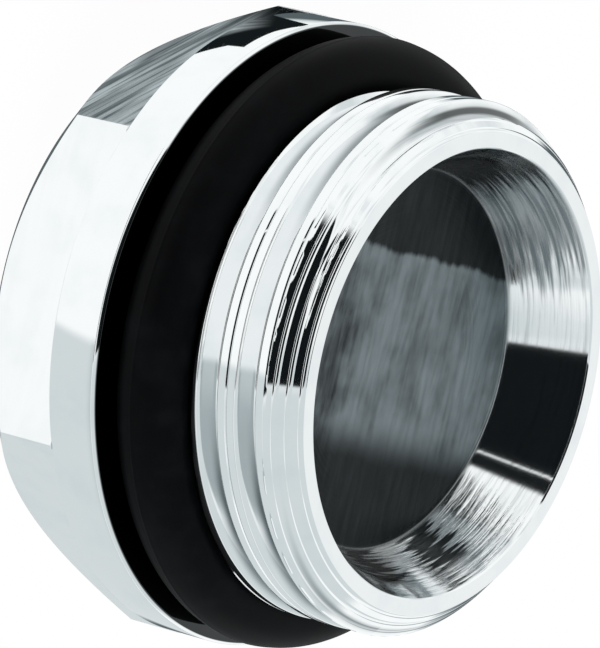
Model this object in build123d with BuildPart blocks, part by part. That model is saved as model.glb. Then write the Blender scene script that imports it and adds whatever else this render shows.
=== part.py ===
from build123d import *
import math
import os

os.makedirs("parts", exist_ok=True)

# Manifold end plug, G1/2. It stands on its hexagon head: axis on Z, thread upwards,
# origin in the middle of the head's rear face, two hexagon corners on the X axis.

# Hexagon head, 21.5 across its flats, whose corners stand just out past the collar
hex_corner_over = 0.065
hex_height = 4.4
rear_face_inset = 0.25

# Round collar between the hexagon and the sealing groove, standing out past the ring
collar_cover = 0.28
collar_height = 2.2
collar_bevel = 0.25

# Groove for the sealing ring, also the run-out of the thread, a step under its crests
neck_step = 1.23
neck_edge = 0.2
ring_section = 2.8
ring_side_gap = 0.15
ring_bore_gap = 0.02

# Threaded shank, G1/2 outside diameter, with its lead-in cone
thread_diameter = 20.955
thread_length = 4.6
thread_back_bevel = 0.1
rim_width = 0.7

# Blind hollow in the threaded end, a cone inside the shank's wall that narrows to a flat floor
shank_wall = 1.73
hollow_depth = 3.2
hollow_taper = 20.0
hollow_corner = 0.3
mouth_bevel = 0.2

# Levels along the axis, from the rear face
groove_width = ring_section + 2 * ring_side_gap
collar_top = hex_height + collar_height
thread_start = collar_top + groove_width
tip = thread_start + thread_length
hollow_floor = tip - hollow_depth

# Radii
thread_radius = thread_diameter / 2
neck_radius = thread_radius - neck_step
ring_centre_radius = neck_radius + ring_bore_gap + ring_section / 2
collar_radius = ring_centre_radius + ring_section / 2 + collar_cover
hollow_radius = thread_radius - shank_wall
hollow_narrowing = (hollow_depth - mouth_bevel) * math.tan(math.radians(hollow_taper))
hollow_floor_radius = hollow_radius - hollow_narrowing
rim_radius = hollow_radius + mouth_bevel + rim_width
lead_in = thread_radius - rim_radius
corner_radius = collar_radius + hex_corner_over
rear_radius = corner_radius * math.cos(math.pi / 6) - rear_face_inset
rear_chamfer = corner_radius - rear_radius

with BuildPart() as plug_body:
    # Hexagon, its corners cut back by a 45 degree cone at the rear face
    with BuildSketch():
        RegularPolygon(corner_radius, 6)
    extrude(amount=hex_height)
    with BuildSketch(Plane.XZ):
        with BuildLine():
            Polyline(
                (rear_radius, 0),
                (corner_radius + 1, 0),
                (corner_radius + 1, rear_chamfer + 1),
                close=True,
            )
        make_face()
    revolve(axis=Axis.Z, mode=Mode.SUBTRACT)

    # Collar, groove and shank as one turned section
    with BuildSketch(Plane.XZ):
        with BuildLine():
            Polyline(
                (0, hex_height),
                (collar_radius, hex_height),
                (collar_radius, collar_top - collar_bevel),
                (collar_radius - collar_bevel, collar_top),
                (neck_radius, collar_top),
                (neck_radius, thread_start - neck_edge),
                (neck_radius + neck_edge, thread_start),
                (thread_radius - thread_back_bevel, thread_start),
                (thread_radius, thread_start + thread_back_bevel),
                (thread_radius, tip - lead_in),
                (rim_radius, tip),
                (0, tip),
                close=True,
            )
        make_face()
    revolve(axis=Axis.Z)

    # Blind tapered hollow with a bevelled mouth and a rounded bottom corner
    with BuildSketch(Plane.XZ):
        with BuildLine():
            Polyline(
                (0, hollow_floor),
                (hollow_floor_radius, hollow_floor),
                (hollow_radius, tip - mouth_bevel),
                (hollow_radius + mouth_bevel, tip),
                (0, tip),
                close=True,
            )
        make_face()
    revolve(axis=Axis.Z, mode=Mode.SUBTRACT)
    floor_face = plug_body.faces().filter_by(GeomType.PLANE).filter_by_position(
        Axis.Z, hollow_floor - 0.01, hollow_floor + 0.01
    )
    fillet(floor_face.edges(), radius=hollow_corner)

plug_body.part.label = "plug_body"
export_step(plug_body.part, "parts/plug_body.step")

# Sealing ring, stretched over the neck in the middle of its groove
ring_level = collar_top + groove_width / 2
with BuildPart() as o_ring:
    with BuildSketch(Plane.XZ):
        with Locations((ring_centre_radius, ring_level)):
            Circle(ring_section / 2)
    revolve(axis=Axis.Z)

o_ring.part.label = "o_ring"
export_step(o_ring.part, "parts/o_ring.step")
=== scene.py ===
"""Manifold end plug: a plated hexagon-head plug with its rubber sealing ring, standing on its head."""

from __future__ import annotations

import logging
import math
from dataclasses import dataclass, field
from enum import Enum
from typing import Any, Mapping, Sequence, Union

import bmesh
import bpy
from mathutils import Matrix, Vector

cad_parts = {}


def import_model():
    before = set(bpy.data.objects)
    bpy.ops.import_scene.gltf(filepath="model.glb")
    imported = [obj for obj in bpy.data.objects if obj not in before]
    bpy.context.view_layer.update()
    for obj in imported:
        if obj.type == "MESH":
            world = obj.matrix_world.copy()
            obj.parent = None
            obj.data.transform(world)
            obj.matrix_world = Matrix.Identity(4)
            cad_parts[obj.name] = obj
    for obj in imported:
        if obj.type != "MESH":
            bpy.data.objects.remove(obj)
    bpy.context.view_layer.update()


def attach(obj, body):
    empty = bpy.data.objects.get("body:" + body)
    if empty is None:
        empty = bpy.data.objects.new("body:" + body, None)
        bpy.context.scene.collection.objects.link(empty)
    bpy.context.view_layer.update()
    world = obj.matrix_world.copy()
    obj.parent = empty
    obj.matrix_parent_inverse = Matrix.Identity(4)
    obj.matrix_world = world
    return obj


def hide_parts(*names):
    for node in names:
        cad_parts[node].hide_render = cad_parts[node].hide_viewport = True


LOG = logging.getLogger("end_plug")
MM = 0.001
DEGREES = math.degrees(1.0)
PICTURE_WIDTH = 600

Point = tuple[float, float]
Corner = tuple[float, float, float]
Place = tuple[float, float, float]
Span = tuple[float, float]
Band = tuple[float, float, float]
Colour = tuple[float, float, float, float]
Value = Union[float, int, "Signal"]

WHITE: Colour = (1.0, 1.0, 1.0, 1.0)


class BoreMark(Enum):
    """Marked stretches of the hollow's wall: two end angles and a fade, in radians from the -Y side. The
    first, second and dark-band marks are dark reflections painted into the colour.
    """

    TORN = (-1.26, -0.56, 0.1)
    FIRST_PAINTED_REFLECTION = (-1.15, -0.91, 0.04)
    SECOND_PAINTED_REFLECTION = (-1.66, -1.38, 0.04)
    DULLED = (0.62, 1.4, 0.14)
    PAINTED_DARK_BAND = (1.22, 2.37, 0.1)


class Signal:
    """A value socket whose arithmetic adds Math nodes to its sheet."""

    def __init__(self, sheet: NodeSheet, socket: bpy.types.NodeSocket) -> None:
        """Keep the socket and the sheet that it belongs to.

        Args:
            sheet: The node sheet that new Math nodes go on.
            socket: The output socket that carries the value.
        """
        self.sheet = sheet
        self.socket = socket

    def _math(self, operation: str, left: Value, right: Value = 0.0) -> Signal:
        """Add one Math node.

        Args:
            operation: Blender's name for the operation.
            left: First operand.
            right: Second operand.

        Returns:
            The node's result.
        """
        return self.sheet.node("ShaderNodeMath", {"operation": operation}, {0: left, 1: right})

    def __add__(self, other: Value) -> Signal:
        """Sum of the two values."""
        return self._math("ADD", self, other)

    def __radd__(self, other: Value) -> Signal:
        """Sum, with the number on the left."""
        return self._math("ADD", other, self)

    def __sub__(self, other: Value) -> Signal:
        """Difference of the two values."""
        return self._math("SUBTRACT", self, other)

    def __rsub__(self, other: Value) -> Signal:
        """Difference, with the number on the left."""
        return self._math("SUBTRACT", other, self)

    def __mul__(self, other: Value) -> Signal:
        """Product of the two values."""
        return self._math("MULTIPLY", self, other)

    def __rmul__(self, other: Value) -> Signal:
        """Product, with the number on the left."""
        return self._math("MULTIPLY", other, self)

    def __truediv__(self, other: Value) -> Signal:
        """Quotient of the two values."""
        return self._math("DIVIDE", self, other)

    def __abs__(self) -> Signal:
        """Size of the value without its sign."""
        return self._math("ABSOLUTE", self)

    def root(self) -> Signal:
        """Square root of the value."""
        return self._math("SQRT", self)

    def sine(self) -> Signal:
        """Sine of the value in radians."""
        return self._math("SINE", self)

    def arcsine(self) -> Signal:
        """Angle in radians whose sine is the value."""
        return self._math("ARCSINE", self)

    def angle_from(self, base: Value) -> Signal:
        """Angle in radians of a triangle with this height over the given base."""
        return self._math("ARCTAN2", self, base)

    def maximum(self, other: Value) -> Signal:
        """Larger of the two values."""
        return self._math("MAXIMUM", self, other)

    def step(self, low: float, high: float) -> Signal:
        """Smooth step of the value.

        Args:
            low: Where the step starts from 0; it may lie above high for a falling step.
            high: Where the step reaches 1.

        Returns:
            A value from 0 to 1.
        """
        if low < high:
            settings = {"interpolation_type": "SMOOTHSTEP", "clamp": True}
            return self.sheet.node("ShaderNodeMapRange", settings, {0: self, 1: low, 2: high, 3: 0.0, 4: 1.0})
        return 1 - self.step(high, low)

    def band(self, low: float, high: float, soft: float) -> Signal:
        """Mask that is 1 between two levels.

        Args:
            low: Lower level.
            high: Upper level.
            soft: Width of the fade at each end.

        Returns:
            A value from 0 to 1.
        """
        return self.step(low - soft, low + soft) * self.step(high + soft, high - soft)


@dataclass(frozen=True)
class SurfacePoint:
    """A shaded point in the part's frame, in millimetres and radians.

    Its angle about the axis starts from the +X side and has its seam on the -X side. Its bore angle starts
    from the -Y side and has its seam on the +Y side.
    """

    where: Signal
    x: Signal
    y: Signal
    height: Signal
    radius: Signal
    angle: Signal
    bore_angle: Signal


class NodeSheet:
    """A node tree with one method that places nodes and joins them."""

    def __init__(self, tree: bpy.types.NodeTree) -> None:
        """Clear the tree and keep it.

        Args:
            tree: The material's or the world's node tree.
        """
        self.tree = tree
        tree.nodes.clear()

    def node(
        self,
        kind: str,
        settings: Mapping[str, Any] | None = None,
        inputs: Mapping[int | str, Any] | None = None,
        output: int | str = 0,
    ) -> Signal:
        """Place a node, set it and join its sockets.

        Args:
            kind: Blender's node type.
            settings: Properties to set first.
            inputs: Socket name or number to a Signal, a number or a tuple.
            output: The output socket to return.

        Returns:
            The chosen output, or the node's first input where it has no output.
        """
        made = self.tree.nodes.new(kind)
        for name, value in (settings or {}).items():
            setattr(made, name, value)
        for name, value in (inputs or {}).items():
            if isinstance(value, Signal):
                self.tree.links.new(value.socket, made.inputs[name])
            else:
                made.inputs[name].default_value = value
        return Signal(self, made.outputs[output] if made.outputs else made.inputs[0])

    def split(self, vector: Signal) -> list[Signal]:
        """Part a vector into its three values."""
        return [self.node("ShaderNodeSeparateXYZ", {}, {0: vector}, k) for k in range(3)]

    def vector(self, x: Value, y: Value, z: Value) -> Signal:
        """Join three values into a vector."""
        return self.node("ShaderNodeCombineXYZ", {}, {0: x, 1: y, 2: z})

    def place(self) -> SurfacePoint:
        """Read the surface point in the part's frame.

        Returns:
            The point, with its distance from the axis and its angles.
        """
        metres = self.node("ShaderNodeTexCoord", output="Object")
        where = self.node("ShaderNodeVectorMath", {"operation": "SCALE"}, {0: metres, "Scale": 1 / MM})
        x, y, height = self.split(where)
        radius = (x * x + y * y).root()
        return SurfacePoint(where, x, y, height, radius, y.angle_from(x), x.angle_from(0 - y))

    def noise(self, vector: Signal, scale: float, detail: float) -> Signal:
        """Noise from 0 to 1.

        Args:
            vector: Where it is read.
            scale: Cells in a unit of the vector.
            detail: Finer layers.

        Returns:
            The noise value.
        """
        return self.node("ShaderNodeTexNoise", {}, {"Vector": vector, "Scale": scale, "Detail": detail})

    def mix(self, factor: Value, first: Any, second: Any) -> Signal:
        """Blend two colours.

        Args:
            factor: 0 gives the first colour and 1 the second.
            first: Colour or Signal.
            second: Colour or Signal.

        Returns:
            The blended colour.
        """
        return self.node("ShaderNodeMix", {"data_type": "RGBA"}, {0: factor, 6: first, 7: second}, 2)

    def bump(self, height: Signal, strength: float, distance: float) -> Signal:
        """Turn a height into a normal.

        Args:
            height: Height from 0 to 1.
            strength: How far the normal follows it.
            distance: Height in metres that 1 stands for.

        Returns:
            The normal.
        """
        return self.node("ShaderNodeBump", {}, {"Strength": strength, "Distance": distance, "Height": height})

    def surface(self, shader: Signal) -> None:
        """Join a shader to the material's output."""
        self.node("ShaderNodeOutputMaterial", {}, {"Surface": shader})


def new_finish(name: str) -> tuple[bpy.types.Material, NodeSheet]:
    """Start a material.

    Args:
        name: The material's name.

    Returns:
        The material and its empty node sheet.
    """
    made = bpy.data.materials.new(name)
    made.use_nodes = True
    return made, NodeSheet(made.node_tree)


@dataclass(frozen=True)
class PlateMasks:
    """Where the body's kinds of surface lie, as masks from 0 to 1, and the hollow's turning marks."""

    floor: Signal
    wall: Signal
    cone: Signal
    head: Signal
    hoops: Signal
    torn: Signal
    dulled: Signal


@dataclass(frozen=True)
class PlatedBrass:
    """Bright chrome plate over turned brass: ridged on the lead-in cone and matt in the hollow, with painted
    shade and painted dark reflections in the hollow, on the collar's front face, on the thread and on one
    flat of the hexagon.

    Heights and radii are in millimetres and angles in radians. A pair is where a mask starts and where it is
    full, and three values are a band's two ends and its fade.
    """

    name: str = "plated_brass"
    bright: Colour = (0.87, 0.89, 0.895, 1.0)
    cloudy: Colour = (0.82, 0.85, 0.86, 1.0)
    # These two colours are the plate's own matt tone and also the colour of painted shade and painted dark
    # reflections.
    dull_tone_and_painted_shade: Colour = (0.19, 0.225, 0.24, 1.0)
    dark_tone_and_painted_shade: Colour = (0.004, 0.006, 0.0065, 1.0)
    mirror_roughness: float = 0.04
    floor_roughness: float = 0.2
    drawn_roughness: float = 0.14
    hoop_roughness: float = 0.06
    dulled_roughness: float = 0.2
    floor_radii: Span = (7.57, 7.43)
    floor_heights: Band = (10.8, 11.25, 0.1)
    # Painted dark reflection at the floor's two ends, and painted shade toward the near wall.
    upper_painted_reflection: Span = (3.9, 4.2)
    lower_painted_reflection: Span = (-2.4, -4.2)
    near_painted_shade: Span = (1.6, 4.2)
    wall_radii: Span = (8.7975, 8.6975)
    wall_heights: Span = (11.12, 11.3)
    painted_reflection_heights: Span = (13.7, 13.0)
    ragged_reach: float = 0.7
    hoop_tint: float = 0.4
    # Strength of the painted shade and painted dark reflections.
    painted_dark_strength: float = 0.95
    # Where shade is painted on the collar's front face.
    seat_radii: Span = (9.4, 9.6)
    seat_heights: Band = (6.57, 6.8, 0.02)
    thread_heights: Band = (10.0, 13.6, 0.1)
    # Where shade is painted in the thread's grooves and on its flanks.
    shank_radii: Span = (9.5, 9.6)
    groove_radii: Span = (10.12, 9.74)
    groove_sides: Span = (0.25, 0.9)
    groove_rise: float = 0.32
    groove_rise_sides: Span = (0.4, 1.3)
    groove_deep_angles: Span = (1.6, 2.3)
    flank_radii: Band = (9.95, 10.2, 0.06)
    flank_angles: Band = (-0.2, 0.5, 0.15)
    flank_strength: float = 0.8
    cone_heights: Span = (13.2, 13.27)
    cone_radii: Span = (9.4, 9.44)
    ridge_level: float = 13.22
    ridge_spacing: float = 0.36
    head_heights: Span = (4.45, 4.35)
    # The flat of the hexagon with painted dark reflection streaks, and their strength.
    painted_reflection_flat: Band = (0.01, math.pi / 3 - 0.01, 0.01)
    painted_reflection_strength: float = 0.9
    ridge_relief: float = 2.2
    hoop_relief: float = 0.16
    torn_relief: float = 1.5
    drawn_relief: float = 0.3
    relief_unit: float = 0.00001

    def masks(self, sheet: NodeSheet, at: SurfacePoint) -> PlateMasks:
        """Find the kinds of surface.

        Args:
            sheet: The material's sheet.
            at: The shaded point.

        Returns:
            The masks.
        """
        floor = at.radius.step(*self.floor_radii) * at.height.band(*self.floor_heights)
        wall = at.radius.step(*self.wall_radii) * at.height.step(*self.wall_heights) * (1 - floor)
        hoops = sheet.noise(sheet.vector(at.height, at.bore_angle * 0.35, 4.0), scale=7.0, detail=4.0)
        return PlateMasks(
            floor=floor,
            wall=wall,
            cone=at.height.step(*self.cone_heights) * at.radius.step(*self.cone_radii),
            head=at.height.step(*self.head_heights),
            hoops=hoops,
            torn=wall * at.bore_angle.band(*BoreMark.TORN.value),
            dulled=wall * self.ragged(at, hoops).band(*BoreMark.DULLED.value),
        )

    def ragged(self, at: SurfacePoint, hoops: Signal) -> Signal:
        """Angle in the hollow, pushed to and fro by the turning marks."""
        return at.bore_angle + self.ragged_reach * (hoops - 0.5)

    def floor_colour(self, sheet: NodeSheet, at: SurfacePoint) -> Signal:
        """Colour the hollow's floor: matt and clouded, with a dark reflection painted along two sides and
        painted shade toward the near wall.

        Args:
            sheet: The material's sheet.
            at: The shaded point.

        Returns:
            The colour.
        """
        cloud = sheet.noise(at.where, scale=0.45, detail=3.0)
        wiped = sheet.noise(sheet.vector(at.x * 0.25, at.y * 2.0, 0.0), scale=1.5, detail=4.0)
        # Painted dark reflection across the floor's two ends.
        across = at.x + 0.8 * (cloud - 0.5) + 0.25 * (wiped - 0.5)
        painted_end_reflection = across.step(*self.upper_painted_reflection).maximum(across.step(*self.lower_painted_reflection))
        # Random clouding, and painted shade toward the near wall.
        near = (at.y + 2.4 * (cloud - 0.5)).step(*self.near_painted_shade)
        shade = 0.4 * cloud.step(0.35, 0.7) + 0.25 * wiped.step(0.35, 0.7) + 0.35 * near
        return sheet.mix(painted_end_reflection * (0.9 + 0.1 * wiped), sheet.mix(shade, self.dull_tone_and_painted_shade, self.dark_tone_and_painted_shade), self.dark_tone_and_painted_shade)

    def wall_colour(self, sheet: NodeSheet, at: SurfacePoint, masks: PlateMasks) -> Signal:
        """Colour the clear plate, with the turning marks of the hollow's wall and dark reflections painted on
        it.

        Args:
            sheet: The material's sheet.
            at: The shaded point.
            masks: The kinds of surface.

        Returns:
            The colour.
        """
        haze = sheet.noise(at.where, scale=0.55, detail=3.0)
        plate = sheet.mix(haze.step(0.4, 0.75), self.bright, self.cloudy)
        plate = sheet.mix(masks.wall * masks.hoops.step(0.45, 0.75) * self.hoop_tint, plate, self.dull_tone_and_painted_shade)
        plate = sheet.mix(masks.dulled * (0.7 + 0.28 * masks.hoops.step(0.4, 0.6)), plate, self.dull_tone_and_painted_shade)
        ragged = self.ragged(at, masks.hoops)
        # Painted dark reflections: black patches and a dark band on the hollow's wall.
        first, second = (ragged.band(*mark.value) for mark in (BoreMark.FIRST_PAINTED_REFLECTION, BoreMark.SECOND_PAINTED_REFLECTION))
        painted_reflections = first.maximum(second) * at.height.step(*self.painted_reflection_heights)
        painted_reflections = painted_reflections.maximum(ragged.band(*BoreMark.PAINTED_DARK_BAND.value))
        return sheet.mix(self.painted_dark_strength * masks.wall * painted_reflections, plate, self.dark_tone_and_painted_shade)

    def shank_colour(self, sheet: NodeSheet, at: SurfacePoint, plate: Signal) -> Signal:
        """Paint shade on the collar's front face, in the thread's grooves and on its flanks at one side.

        Args:
            sheet: The material's sheet.
            at: The shaded point.
            plate: The colour so far.

        Returns:
            The colour.
        """
        # Painted shade on the collar's front face beside the ring.
        painted_seat_shade = at.height.band(*self.seat_heights) * at.radius.step(*self.seat_radii)
        plate = sheet.mix(self.painted_dark_strength * painted_seat_shade, plate, self.dark_tone_and_painted_shade)
        thread = at.height.band(*self.thread_heights)
        # Painted shade in the thread's grooves, deeper toward the lower side.
        aside = abs(at.angle - math.pi / 2)
        depth = at.radius - self.groove_rise * aside.step(*self.groove_rise_sides)
        groove = depth.step(*self.groove_radii) * at.radius.step(*self.shank_radii)
        groove = groove * thread * aside.step(*self.groove_sides)
        plate = sheet.mix(groove * (0.55 + 0.4 * at.angle.step(*self.groove_deep_angles)), plate, self.dull_tone_and_painted_shade)
        # Painted shade: dark lines on the flanks at the top side.
        flank = at.angle.band(*self.flank_angles) * at.radius.band(*self.flank_radii) * thread
        return sheet.mix(self.flank_strength * flank, plate, self.dark_tone_and_painted_shade)

    def head_colour(self, sheet: NodeSheet, at: SurfacePoint, head: Signal, plate: Signal) -> Signal:
        """Paint streaked dark reflections on one flat of the hexagon.

        Args:
            sheet: The material's sheet.
            at: The shaded point.
            head: Mask of the head.
            plate: The colour so far.

        Returns:
            The colour.
        """
        # Painted dark reflection streaks, on one flat only.
        reflection_streaks = sheet.noise(sheet.vector(at.height * 4.0, at.angle * 1.1, 7.0), scale=1.5, detail=5.0)
        flat = head * at.angle.band(*self.painted_reflection_flat)
        return sheet.mix(flat * reflection_streaks.step(0.44, 0.6) * self.painted_reflection_strength, plate, self.dull_tone_and_painted_shade)

    def material(self) -> bpy.types.Material:
        """Make the finish.

        Returns:
            The new material.
        """
        made, sheet = new_finish(self.name)
        at = sheet.place()
        masks = self.masks(sheet, at)
        plate = self.shank_colour(sheet, at, self.wall_colour(sheet, at, masks))
        plate = self.head_colour(sheet, at, masks.head, plate)
        rings = sheet.noise(sheet.vector(at.radius, at.bore_angle * 0.25, 0.0), scale=9.0, detail=3.0)
        drawn = sheet.noise(sheet.vector(at.height * 1.5, at.angle * 0.9, 2.0), scale=2.4, detail=6.0)
        rough = (
            self.mirror_roughness
            + self.floor_roughness * masks.floor
            + self.hoop_roughness * masks.wall * masks.hoops
            + self.dulled_roughness * masks.dulled
            + self.drawn_roughness * masks.head * drawn.step(0.3, 0.7)
        )
        ridge_turns = (at.height - self.ridge_level) / self.ridge_spacing + 0.5
        ridges = (0.5 + 0.5 * (ridge_turns * math.tau).sine()).step(0.55, 1.0)
        relief = (
            self.ridge_relief * masks.cone * ridges
            + masks.floor * rings
            + (self.hoop_relief * masks.wall + self.torn_relief * masks.torn) * masks.hoops
            + self.drawn_relief * masks.head * drawn
        )
        sockets = {
            "Base Color": sheet.mix(masks.floor, plate, self.floor_colour(sheet, at)),
            "Metallic": 1.0,
            "Roughness": rough,
            "Normal": sheet.bump(relief, 1.0, self.relief_unit),
        }
        sheet.surface(sheet.node("ShaderNodeBsdfPrincipled", {}, sockets))
        return made


@dataclass(frozen=True)
class SealRubber:
    """Black moulded rubber with a faint bloom."""

    name: str = "seal_rubber"
    black: Colour = (0.0012, 0.0014, 0.0017, 1.0)
    bloom: Colour = (0.0036, 0.0042, 0.005, 1.0)
    bloom_strength: float = 0.7
    roughness: float = 0.5
    sheen_level: float = 0.05
    grain_strength: float = 0.12
    grain_unit: float = 0.00002

    def material(self) -> bpy.types.Material:
        """Make the finish.

        Returns:
            The new material.
        """
        made, sheet = new_finish(self.name)
        at = sheet.place()
        grain = sheet.noise(at.where, scale=14.0, detail=4.0)
        patch = sheet.noise(at.where, scale=0.8, detail=3.0)
        sockets = {
            "Base Color": sheet.mix(patch.step(0.4, 0.8) * self.bloom_strength, self.black, self.bloom),
            "Roughness": self.roughness + 0.12 * (patch - 0.5) + 0.06 * grain,
            "Normal": sheet.bump(grain, self.grain_strength, self.grain_unit),
            "Specular IOR Level": self.sheen_level,
        }
        sheet.surface(sheet.node("ShaderNodeBsdfPrincipled", {}, sockets))
        return made


@dataclass(frozen=True)
class PaleFloor:
    """Plain pale studio floor that shows white to the camera and keeps a soft shadow."""

    name: str = "pale_floor"
    colour: Colour = (0.86, 0.865, 0.87, 1.0)
    white_to_camera: float = 0.97

    def material(self) -> bpy.types.Material:
        """Make the finish.

        Returns:
            The new material.
        """
        made, sheet = new_finish(self.name)
        seen = sheet.node("ShaderNodeLightPath", output="Is Camera Ray")
        plain = sheet.node("ShaderNodeBsdfDiffuse", {}, {"Color": self.colour})
        white = sheet.node("ShaderNodeEmission", {}, {"Color": WHITE, "Strength": 1.0})
        share = seen * self.white_to_camera
        sheet.surface(sheet.node("ShaderNodeMixShader", {}, {0: share, 1: plain, 2: white}))
        return made


@dataclass(frozen=True)
class PaintedShadowBoard:
    """Glowing dark board with pale stripes beside a flat of the hexagon: a painted shadow of the plug on the
    floor, with painted streaks of light, for the metal to mirror. Millimetres and degrees.
    """

    name: str = "painted_shadow_board"
    dark: Colour = (0.008, 0.011, 0.012, 1.0)
    pale: Colour = (0.52, 0.58, 0.6, 1.0)
    turn: float = 30.0
    pale_out: Span = (14.2, 13.4)
    pale_along: Span = (-8.5, -4.0)

    def material(self) -> bpy.types.Material:
        """Make the finish.

        Returns:
            The new material.
        """
        made, sheet = new_finish(self.name)
        at = sheet.place()
        cos, sin = math.cos(math.radians(self.turn)), math.sin(math.radians(self.turn))
        out, along = at.x * cos + at.y * sin, at.y * cos - at.x * sin
        # Painted shadow, glowing dark, with painted pale streaks of light on part of it.
        stripes = sheet.noise(sheet.vector(out * 2.2, along * 0.1, 0.0), scale=1.6, detail=5.0)
        shown = out.step(*self.pale_out) * along.step(*self.pale_along)
        shade = sheet.mix(shown * (0.45 + 0.55 * stripes.step(0.38, 0.62)), self.dark, self.pale)
        sheet.surface(sheet.node("ShaderNodeEmission", {}, {"Color": shade, "Strength": 1.0}))
        return made


def fillet_run(points: Sequence[Corner], arcs: int) -> list[Point]:
    """Round the corners of a line.

    Args:
        points: Corners as two coordinates and the corner's radius.
        arcs: Runs in each rounded corner.

    Returns:
        The rounded line's points.
    """
    out: list[Point] = []
    for k, (x, y, radius) in enumerate(points):
        if radius <= 0 or k in (0, len(points) - 1):
            out.append((x, y))
            continue
        here = Vector((x, y))
        back = (Vector(points[k - 1][:2]) - here).normalized()
        ahead = (Vector(points[k + 1][:2]) - here).normalized()
        half = back.angle(ahead) / 2
        reach = radius / math.tan(half)
        middle = here + (back + ahead).normalized() * (radius / math.sin(half))
        start, end = here + back * reach - middle, here + ahead * reach - middle
        whole = start.angle(end)
        for step in range(arcs + 1):
            swing = whole * step / arcs
            mixed = (start * math.sin(whole - swing) + end * math.sin(swing)) / math.sin(whole)
            out.append(tuple(middle + mixed))
    return out


def turned_place(radius: float, height: float, angle: float) -> Place:
    """Place of a section's point at an angle about the axis.

    Args:
        radius: Distance from the axis in millimetres.
        height: Height in millimetres.
        angle: Angle about the axis in radians.

    Returns:
        The place in metres.
    """
    return radius * MM * math.cos(angle), radius * MM * math.sin(angle), height * MM


def link_piece(name: str, mesh: bpy.types.Mesh) -> bpy.types.Object:
    """Make an object of a mesh and link it into the scene.

    Args:
        name: The piece's name.
        mesh: Its mesh.

    Returns:
        The new object.
    """
    piece = bpy.data.objects.new(name, mesh)
    bpy.context.collection.objects.link(piece)
    return piece


def mesh_piece(name: str, bm: bmesh.types.BMesh, sharp: float) -> bpy.types.Object:
    """Make an object of a finished mesh.

    Args:
        name: The piece's name.
        bm: The mesh, which is freed.
        sharp: Angle in degrees above which an edge is drawn sharp.

    Returns:
        The new object, linked into the scene.
    """
    bmesh.ops.remove_doubles(bm, verts=bm.verts, dist=2e-7)
    bmesh.ops.dissolve_degenerate(bm, edges=bm.edges, dist=1e-7)
    bmesh.ops.recalc_face_normals(bm, faces=bm.faces)
    for face in bm.faces:
        face.smooth = True
    for edge in bm.edges:
        edge.smooth = edge.calc_face_angle(0.0) < math.radians(sharp)
    mesh = bpy.data.meshes.new(name)
    bm.to_mesh(mesh)
    bm.free()
    return link_piece(name, mesh)


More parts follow.
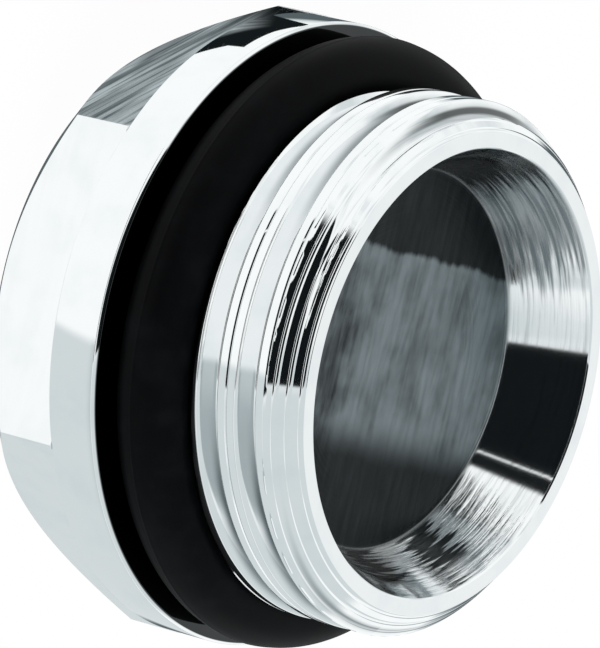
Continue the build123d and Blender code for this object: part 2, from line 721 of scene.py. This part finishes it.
@dataclass
class PlugBody:
    """The turned body: hexagon, collar, groove, threaded shank and blind hollow. Millimetres and degrees."""

    flats: float = 21.5
    hexagon_height: float = 4.4
    corner_cut: float = 0.0124
    corner_blend: float = 0.0044721
    corner_columns: tuple[float, ...] = (0.0, 0.2, 0.4, 0.65, 1.0)
    rear_radius: float = 10.5
    rear_round: float = 0.08
    edge_round: float = 0.06
    collar_radius: float = 12.3475
    collar_top: float = 6.6
    collar_bevel: float = 0.13
    collar_lap: float = 0.1
    bevel_round: float = 0.05
    neck_radius: float = 9.2475
    neck_round: float = 0.12
    neck_end_round: float = 0.2
    neck_shoulder: float = 0.3
    thread_start: float = 9.7
    thread_radius: float = 10.4775
    thread_depth: float = 0.76
    thread_back_bevel: float = 0.1
    flank_angle: float = 27.5
    crest_flat: float = 0.84
    crest_round: float = 0.07
    root_round: float = 0.12
    seam_width: float = 0.12
    seam_depth: float = 0.03
    seam_round: float = 0.04
    pitch: float = 1.814
    crest_angle: float = 122.5
    crest_level: float = 11.5
    tip: float = 14.3
    rim_radius: float = 9.4
    hollow_radius: float = 8.7475
    hollow_depth: float = 3.2
    hollow_taper: float = 22.5
    hollow_corner: float = 0.15
    mouth_bevel: float = 0.06
    mouth_round: float = 0.02
    middle_radius: float = 2.0
    long_run: float = 0.2
    long_run_splits: int = 6
    sharp_angle: float = 32.0
    finish: PlatedBrass = field(default_factory=PlatedBrass)

    @property
    def thread_turns(self) -> int:
        """Turns of the thread's section that cover its length at every angle."""
        return math.ceil((self.tip - self.thread_start) / self.pitch) + 3

    def angles(self) -> list[float]:
        """List the columns' angles, closer together beside the hexagon's corners.

        Returns:
            Angles about the axis in radians.
        """
        near = list(self.corner_columns)
        side = near + [float(k) for k in range(2, 59)] + [60.0 - k for k in reversed(near[1:])]
        return [math.radians(60 * k + a) for k in range(6) for a in side]

    def hexagon_radius(self, angle: float) -> float:
        """Distance of the hexagon's wall from the axis.

        Args:
            angle: Angle about the axis, with a corner at 0.

        Returns:
            The distance, with the corner slightly rounded.
        """
        apothem = self.flats / 2
        off = (angle % (math.pi / 3)) - math.pi / 6
        sharp = apothem / math.cos(off)
        limit = apothem / math.cos(math.pi / 6) - self.corner_cut
        return 0.5 * (limit + sharp - math.hypot(limit - sharp, self.corner_blend))

    def thread_line(self) -> list[Point]:
        """Section of one thread turn from crest to crest.

        Returns:
            Points as a share of the pitch and the depth under the crest.
        """
        flank = self.thread_depth * math.tan(math.radians(self.flank_angle))
        top = self.crest_flat / 2
        side = fillet_run(
            [
                (0.0, self.seam_depth, 0.0),
                (self.seam_width / 2, 0.0, self.seam_round),
                (top, 0.0, self.crest_round),
                (top + flank, self.thread_depth, self.root_round),
                (self.pitch / 2, self.thread_depth, 0.0),
            ],
            5,
        )
        more: list[Point] = []
        for (x0, y0), (x1, y1) in zip(side, side[1:]):
            runs = self.long_run_splits if math.hypot(x1 - x0, y1 - y0) > self.long_run else 1
            more += [(x0 + (x1 - x0) * k / runs, y0 + (y1 - y0) * k / runs) for k in range(runs)]
        more.append(side[-1])
        rising = [(x / self.pitch, y) for x, y in more]
        return rising + [(1 - x, y) for x, y in reversed(rising[1:-1])]

    def thread_radius_at(self, depth: float, level: float) -> float:
        """Limit the thread's radius by its back bevel and its lead-in cone.

        Args:
            depth: Depth under the crest.
            level: Height on the axis.

        Returns:
            The radius.
        """
        lead = self.rim_radius + (self.tip - level)
        back = self.thread_radius - self.thread_back_bevel + (level - self.thread_start)
        return max(self.neck_radius, min(self.thread_radius - depth, lead, back))

    def depth_at(self, line: Sequence[Point], turn: float) -> float:
        """Depth of the thread's section at a place in its turn.

        Args:
            line: The section from thread_line.
            turn: Place in pitches.

        Returns:
            The depth under the crest.
        """
        share = turn % 1.0
        closed = list(line) + [(1.0, line[0][1])]
        for (x0, y0), (x1, y1) in zip(closed, closed[1:]):
            if x0 <= share <= x1:
                return y0 + (y1 - y0) * (share - x0) / max(x1 - x0, 1e-9)
        return line[0][1]

    def head_rows(self, angle: float) -> list[Point]:
        """Section of the head and the groove at one angle, from the rear face's middle.

        Args:
            angle: Angle about the axis.

        Returns:
            Points as distance from the axis and height.
        """
        wall = self.hexagon_radius(angle)
        rear = fillet_run(
            [
                (self.middle_radius, 0.0, 0.0),
                (self.rear_radius, 0.0, self.rear_round),
                (wall, wall - self.rear_radius, self.edge_round),
                (wall, self.hexagon_height, 0.0),
            ],
            3,
        )
        collar = fillet_run(
            [
                (min(wall, self.collar_radius - self.collar_lap), self.hexagon_height, 0.0),
                (self.collar_radius, self.hexagon_height, self.edge_round),
                (self.collar_radius, self.collar_top - self.collar_bevel, self.bevel_round),
                (self.collar_radius - self.collar_bevel, self.collar_top, self.bevel_round),
                (self.neck_radius, self.collar_top, self.neck_round),
                (self.neck_radius, self.thread_start, self.neck_end_round),
                (self.neck_radius + self.neck_shoulder, self.thread_start, 0.0),
            ],
            3,
        )
        return rear + collar

    def thread_rows(self, angle: float, line: Sequence[Point]) -> list[Point]:
        """Section of the thread at one angle, its rows held between the thread's start and the tip.

        Args:
            angle: Angle about the axis.
            line: The section from thread_line.

        Returns:
            Points as distance from the axis and height.
        """
        lift = (angle - math.radians(self.crest_angle)) / math.tau
        first = math.floor((self.thread_start - self.crest_level) / self.pitch) - 1
        rows: list[Point] = []
        for turn in range(self.thread_turns):
            for share, depth in line:
                level = self.crest_level + self.pitch * (first + turn + share + lift)
                kept = min(max(level, self.thread_start), self.tip)
                if kept != level:
                    depth = self.depth_at(line, (kept - self.crest_level) / self.pitch - lift)
                rows.append((self.thread_radius_at(depth, kept), kept))
        return rows

    def hollow_rows(self) -> list[Point]:
        """Section of the rim and the hollow, to the hollow's middle.

        Returns:
            Points as distance from the axis and height.
        """
        floor = self.tip - self.hollow_depth
        narrowing = (self.hollow_depth - self.mouth_bevel) * math.tan(math.radians(self.hollow_taper))
        return fillet_run(
            [
                (self.rim_radius, self.tip, 0.0),
                (self.hollow_radius + self.mouth_bevel, self.tip, self.mouth_round),
                (self.hollow_radius, self.tip - self.mouth_bevel, self.mouth_round),
                (self.hollow_radius - narrowing, floor, self.hollow_corner),
                (self.middle_radius, floor, 0.0),
            ],
            6,
        )

    def build(self) -> bpy.types.Object:
        """Make the body's mesh, with the thread's rows running along its helix.

        Returns:
            The body's object.
        """
        bm = bmesh.new()
        line = self.thread_line()
        columns: list[list[bmesh.types.BMVert]] = []
        for angle in self.angles():
            rows = self.head_rows(angle) + self.thread_rows(angle, line) + self.hollow_rows()
            columns.append([bm.verts.new(turned_place(radius, height, angle)) for radius, height in rows])
        first = len(self.head_rows(0.0))
        last = first + len(line) * self.thread_turns - 1
        for k, column in enumerate(columns):
            following = columns[(k + 1) % len(columns)]
            turn_ends = k + 1 == len(columns)
            for row in range(len(column) - 1):
                low, high = row, row + 1
                if turn_ends and first <= row < last:
                    low, high = min(low + len(line), last), min(high + len(line), last)
                self._face(bm, [column[row], following[low], following[high], column[row + 1]])
        bm.faces.new([column[0] for column in reversed(columns)])
        bm.faces.new([column[-1] for column in columns])
        return mesh_piece("turned_body", bm, self.sharp_angle)

    @staticmethod
    def _face(bm: bmesh.types.BMesh, corners: Sequence[bmesh.types.BMVert]) -> None:
        """Add a face of the corners that differ in place.

        Args:
            bm: The mesh.
            corners: Four corners in order.
        """
        kept: list[bmesh.types.BMVert] = []
        for corner in corners:
            if all((corner.co - other.co).length > 1e-8 for other in kept):
                kept.append(corner)
        if len(kept) > 2:
            bm.faces.new(kept)

    def dress(self, piece: bpy.types.Object) -> None:
        """Give the body its finish and its place in the frame.

        Args:
            piece: The body's object.
        """
        piece.data.materials.append(self.finish.material())
        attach(piece, "root")
        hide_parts("plug_body")


@dataclass
class SealRing:
    """The rubber sealing ring with its moulding line. Millimetres and degrees."""

    section: float = 2.8
    centre_radius: float = 10.6675
    level: float = 8.15
    flash_height: float = 0.02
    flash_width: float = 0.06
    flash_rows: tuple[float, ...] = (-4.0, -2.4, -1.2, 1.2, 2.4, 4.0)
    section_rows: int = 60
    around: int = 360
    sharp_angle: float = 60.0
    finish: SealRubber = field(default_factory=SealRubber)

    def section_points(self) -> list[Point]:
        """Points round the ring's section, with the moulding line's low ridge outside and inside.

        Returns:
            Points from the section's centre, away from the axis and up.
        """
        turns = [k * 360.0 / self.section_rows for k in range(self.section_rows)]
        turns += [side + row for side in (0.0, 180.0) for row in self.flash_rows]
        out: list[Point] = []
        for turn in sorted(t % 360 for t in turns):
            off = min(turn % 180, 180 - turn % 180)
            arc = math.radians(off) * self.section / 2
            ridge = self.flash_height * math.exp(-((arc / self.flash_width) ** 2))
            radius = self.section / 2 - self.flash_height + ridge
            out.append((radius * math.cos(math.radians(turn)), radius * math.sin(math.radians(turn))))
        return out

    def build(self) -> bpy.types.Object:
        """Make the ring's mesh.

        Returns:
            The ring's object.
        """
        bm = bmesh.new()
        section = self.section_points()
        loops: list[list[bmesh.types.BMVert]] = []
        for k in range(self.around):
            angle = math.tau * k / self.around
            places = [turned_place(self.centre_radius + out, self.level + up, angle) for out, up in section]
            loops.append([bm.verts.new(place) for place in places])
        for k, loop in enumerate(loops):
            following = loops[(k + 1) % self.around]
            for row in range(len(section)):
                up = (row + 1) % len(section)
                bm.faces.new((loop[row], following[row], following[up], loop[up]))
        return mesh_piece("sealing_ring", bm, self.sharp_angle)

    def dress(self, piece: bpy.types.Object) -> None:
        """Give the ring its finish and its place in the frame.

        Args:
            piece: The ring's object.
        """
        piece.data.materials.append(self.finish.material())
        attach(piece, "root")
        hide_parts("o_ring")


def direction(azimuth: float, height: float) -> Vector:
    """Direction from the plug.

    Args:
        azimuth: Direction about the axis in degrees.
        height: Angle above the floor in degrees.

    Returns:
        The unit vector.
    """
    turn, lift = math.radians(azimuth), math.radians(height)
    return Vector((math.cos(turn) * math.cos(lift), math.sin(turn) * math.cos(lift), math.sin(lift)))


@dataclass(frozen=True)
class MirroredRoom:
    """The pale room that the metal mirrors, with a dark card in front and grey ones at the sides.

    Angles are in degrees. A pair is where a mask starts and where it is full, and three values are a band's
    two ends and its fade.
    """

    white_card: Colour = (1.07, 1.08, 1.08, 1.0)
    low_card: Colour = (0.71, 0.76, 0.77, 1.0)
    rim_card: Colour = (0.95, 0.97, 0.975, 1.0)
    grey_card: Colour = (0.47, 0.52, 0.535, 1.0)
    under_card: Colour = (0.1, 0.125, 0.135, 1.0)
    dark_card: Colour = (0.006, 0.008, 0.009, 1.0)
    ambient: Colour = (0.5, 0.5, 0.5, 1.0)
    dark_left: Span = (46.0, 49.0)
    dark_left_lean: float = 0.42
    dark_right: Span = (114.3, 112.3)
    dark_right_lean: float = 0.05
    dark_low: Band = (-6.0, 27.0, 1.5)
    dark_high: Band = (46.0, 64.0, 1.0)
    dark_slit: Band = (56.4, 57.6, 0.3)
    side_turns: tuple[Span, Span] = ((106.0, 111.0), (-50.0, -60.0))
    top_turns: tuple[Span, Span] = ((112.0, 122.0), (-92.0, -104.0))
    top_lifts: Span = (8.0, 14.0)
    low_lifts: Span = (-14.0, -20.0)
    grey_lifts: Band = (-31.0, -17.0, 3.0)
    under_turns: Band = (-104.0, -62.0, 4.0)
    under_lifts: Span = (-10.0, -16.0)
    uneven_lifts: Span = (-10.0, 10.0)
    rim_azimuth: float = 270.0
    rim_lift: float = 36.0
    rim_cosines: Span = (0.9, 0.97)

    def front_card(self, turn: Signal, lift: Signal) -> Signal:
        """Mask of the dark card, with a gap in its height and a slit in its low part.

        Args:
            turn: Looked-at direction about the axis.
            lift: Looked-at angle above the floor.

        Returns:
            A value from 0 to 1.
        """
        left = turn + self.dark_left_lean * lift
        wide = left.step(*self.dark_left) * (turn - self.dark_right_lean * lift).step(*self.dark_right)
        low = lift.band(*self.dark_low) * (1 - left.band(*self.dark_slit))
        return wide * low.maximum(lift.band(*self.dark_high))

    def pale_walls(self, sheet: NodeSheet, way: Signal, turn: Signal, lift: Signal) -> Signal:
        """Colour of the room without its dark card.

        Args:
            sheet: The world's sheet.
            way: The looked-at direction.
            turn: Its angle about the axis.
            lift: Its angle above the floor.

        Returns:
            The colour.
        """
        spans = (self.side_turns, self.top_turns)
        side, top = (turn.step(*right).maximum(turn.step(*left)) for right, left in spans)
        low_grey = (top * lift.step(*self.top_lifts)).maximum(side * lift.step(*self.low_lifts))
        uneven = sheet.noise(way, scale=3.2, detail=4.0).step(0.45, 0.72) * lift.step(*self.uneven_lifts)
        aim = direction(self.rim_azimuth, self.rim_lift)
        cosine = {"operation": "DOT_PRODUCT"}
        toward_rim = sheet.node("ShaderNodeVectorMath", cosine, {0: way, 1: aim}, "Value")
        seen = sheet.mix(uneven, self.white_card, self.low_card)
        seen = sheet.mix(low_grey, seen, self.low_card)
        seen = sheet.mix(side * lift.band(*self.grey_lifts), seen, self.grey_card)
        seen = sheet.mix(turn.band(*self.under_turns) * lift.step(*self.under_lifts), seen, self.under_card)
        return sheet.mix(toward_rim.step(*self.rim_cosines), seen, self.rim_card)

    def build(self) -> None:
        """Make the world: the metal mirrors the cards, the camera sees white, and the rest is lit evenly."""
        world = bpy.data.worlds.new("room")
        bpy.context.scene.world = world
        world.use_nodes = True
        sheet = NodeSheet(world.node_tree)
        way = sheet.node("ShaderNodeTexCoord", output="Generated")
        x, y, z = sheet.split(way)
        turn = y.angle_from(x) * DEGREES
        lift = z.arcsine() * DEGREES
        seen = sheet.mix(self.front_card(turn, lift), self.pale_walls(sheet, way, turn, lift), self.dark_card)
        mirrored = sheet.node("ShaderNodeLightPath", output="Is Glossy Ray")
        direct = sheet.node("ShaderNodeLightPath", output="Is Camera Ray")
        colour = sheet.mix(direct, sheet.mix(mirrored, self.ambient, seen), WHITE)
        shown = sheet.node("ShaderNodeBackground", {}, {"Color": colour, "Strength": 1.0})
        sheet.node("ShaderNodeOutputWorld", {}, {"Surface": shown})


@dataclass
class Studio:
    """Floor, painted shadow board, room, lamp and camera. Metres and degrees, and millimetres for the board.
    """

    floor_size: float = 6.0
    board_turn: float = 30.0
    board_level: float = 0.05
    board_outline: tuple[Point, ...] = (
        (10.6, -7.5),
        (13.8, -12.1),
        (15.3, -8.6),
        (17.2, -5.6),
        (15.7, -4.2),
        (13.8, 0.8),
        (10.8, 6.5),
    )
    lamp_azimuth: float = 165.0
    lamp_height: float = 48.0
    lamp_distance: float = 0.6
    lamp_size: float = 0.3
    lamp_watts: float = 3.2
    lamp_aim: Place = (0.0, 0.0, 0.007)
    camera_place: Place = (0.002213, 0.201738, 0.154667)
    camera_right: Place = (0.23918, -0.57468, 0.78265)
    camera_up: Place = (0.97097, 0.14156, -0.19279)
    camera_back: Place = (0.0, 0.80604, 0.59186)
    camera_turn: float = -0.5
    camera_clip: Span = (0.01, 20.0)
    focal_pixels: float = 6440.0
    floor_finish: PaleFloor = field(default_factory=PaleFloor)
    room: MirroredRoom = field(default_factory=MirroredRoom)

    def floor(self) -> None:
        """Lay the floor under the plug."""
        half = self.floor_size / 2
        mesh = bpy.data.meshes.new("floor")
        places = [(-half, -half, 0), (half, -half, 0), (half, half, 0), (-half, half, 0)]
        mesh.from_pydata(places, [], [(0, 1, 2, 3)])
        mesh.materials.append(self.floor_finish.material())
        piece = link_piece("floor", mesh)
        piece.visible_glossy = False

    def painted_shadow_board(self) -> None:
        """Lay a glowing dark board, a painted shadow with painted streaks of light, beside one flat of the
        hexagon; only the metal mirrors it.
        """
        mesh = bpy.data.meshes.new("painted_shadow_board")
        turn = Matrix.Rotation(math.radians(self.board_turn), 3, "Z")
        flat = [Vector((out, along, self.board_level)) * MM for out, along in self.board_outline]
        mesh.from_pydata([tuple(turn @ place) for place in flat], [], [tuple(range(len(flat)))])
        mesh.materials.append(PaintedShadowBoard(turn=self.board_turn).material())
        piece = link_piece("painted_shadow_board", mesh)
        piece.visible_camera = False
        piece.visible_diffuse = False
        piece.visible_shadow = False

    def key_lamp(self) -> None:
        """Hang a soft square lamp that looks at the plug and isn't mirrored."""
        light = bpy.data.lights.new("key_lamp", "AREA")
        light.size = self.lamp_size
        light.energy = self.lamp_watts
        lamp = bpy.data.objects.new("key_lamp", light)
        lamp.location = direction(self.lamp_azimuth, self.lamp_height) * self.lamp_distance
        lamp.rotation_euler = (Vector(self.lamp_aim) - lamp.location).to_track_quat("-Z", "Y").to_euler()
        lamp.visible_glossy = False
        bpy.context.collection.objects.link(lamp)

    def camera(self) -> None:
        """Set the camera where the photograph was taken, rolled so that the plug lies on its side."""
        turn = Matrix.Rotation(math.radians(self.camera_turn), 3, "Z")
        axes = [turn @ Vector(axis) for axis in (self.camera_right, self.camera_up, self.camera_back)]
        data = bpy.data.cameras.new("camera")
        data.sensor_fit = "HORIZONTAL"
        data.sensor_width = 36.0
        data.lens = self.focal_pixels / PICTURE_WIDTH * data.sensor_width
        data.clip_start, data.clip_end = self.camera_clip
        camera = bpy.data.objects.new("camera", data)
        rotation = Matrix(axes).transposed().to_4x4()
        camera.matrix_world = Matrix.Translation(Vector(self.camera_place)) @ rotation
        bpy.context.collection.objects.link(camera)
        bpy.context.scene.camera = camera

    def build(self) -> None:
        """Set up the whole studio."""
        self.floor()
        self.painted_shadow_board()
        self.room.build()
        self.key_lamp()
        self.camera()
        bpy.context.scene.view_settings.view_transform = "Standard"


def corners(box: Sequence[Sequence[float]]) -> list[list[float]]:
    """Write a box as plain lists of numbers.

    Args:
        box: Lowest and highest corner.

    Returns:
        The same corners as lists.
    """
    return [[float(v) for v in corner] for corner in box]


def main() -> None:
    """Load the frame, build and dress the plug, and log each piece's face count."""
    logging.basicConfig(level=logging.INFO)
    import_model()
    Studio().build()
    for part in (PlugBody(), SealRing()):
        piece = part.build()
        part.dress(piece)
        LOG.info("%s: %d faces", piece.name, len(piece.data.polygons))


if __name__ == "__main__":
    main()
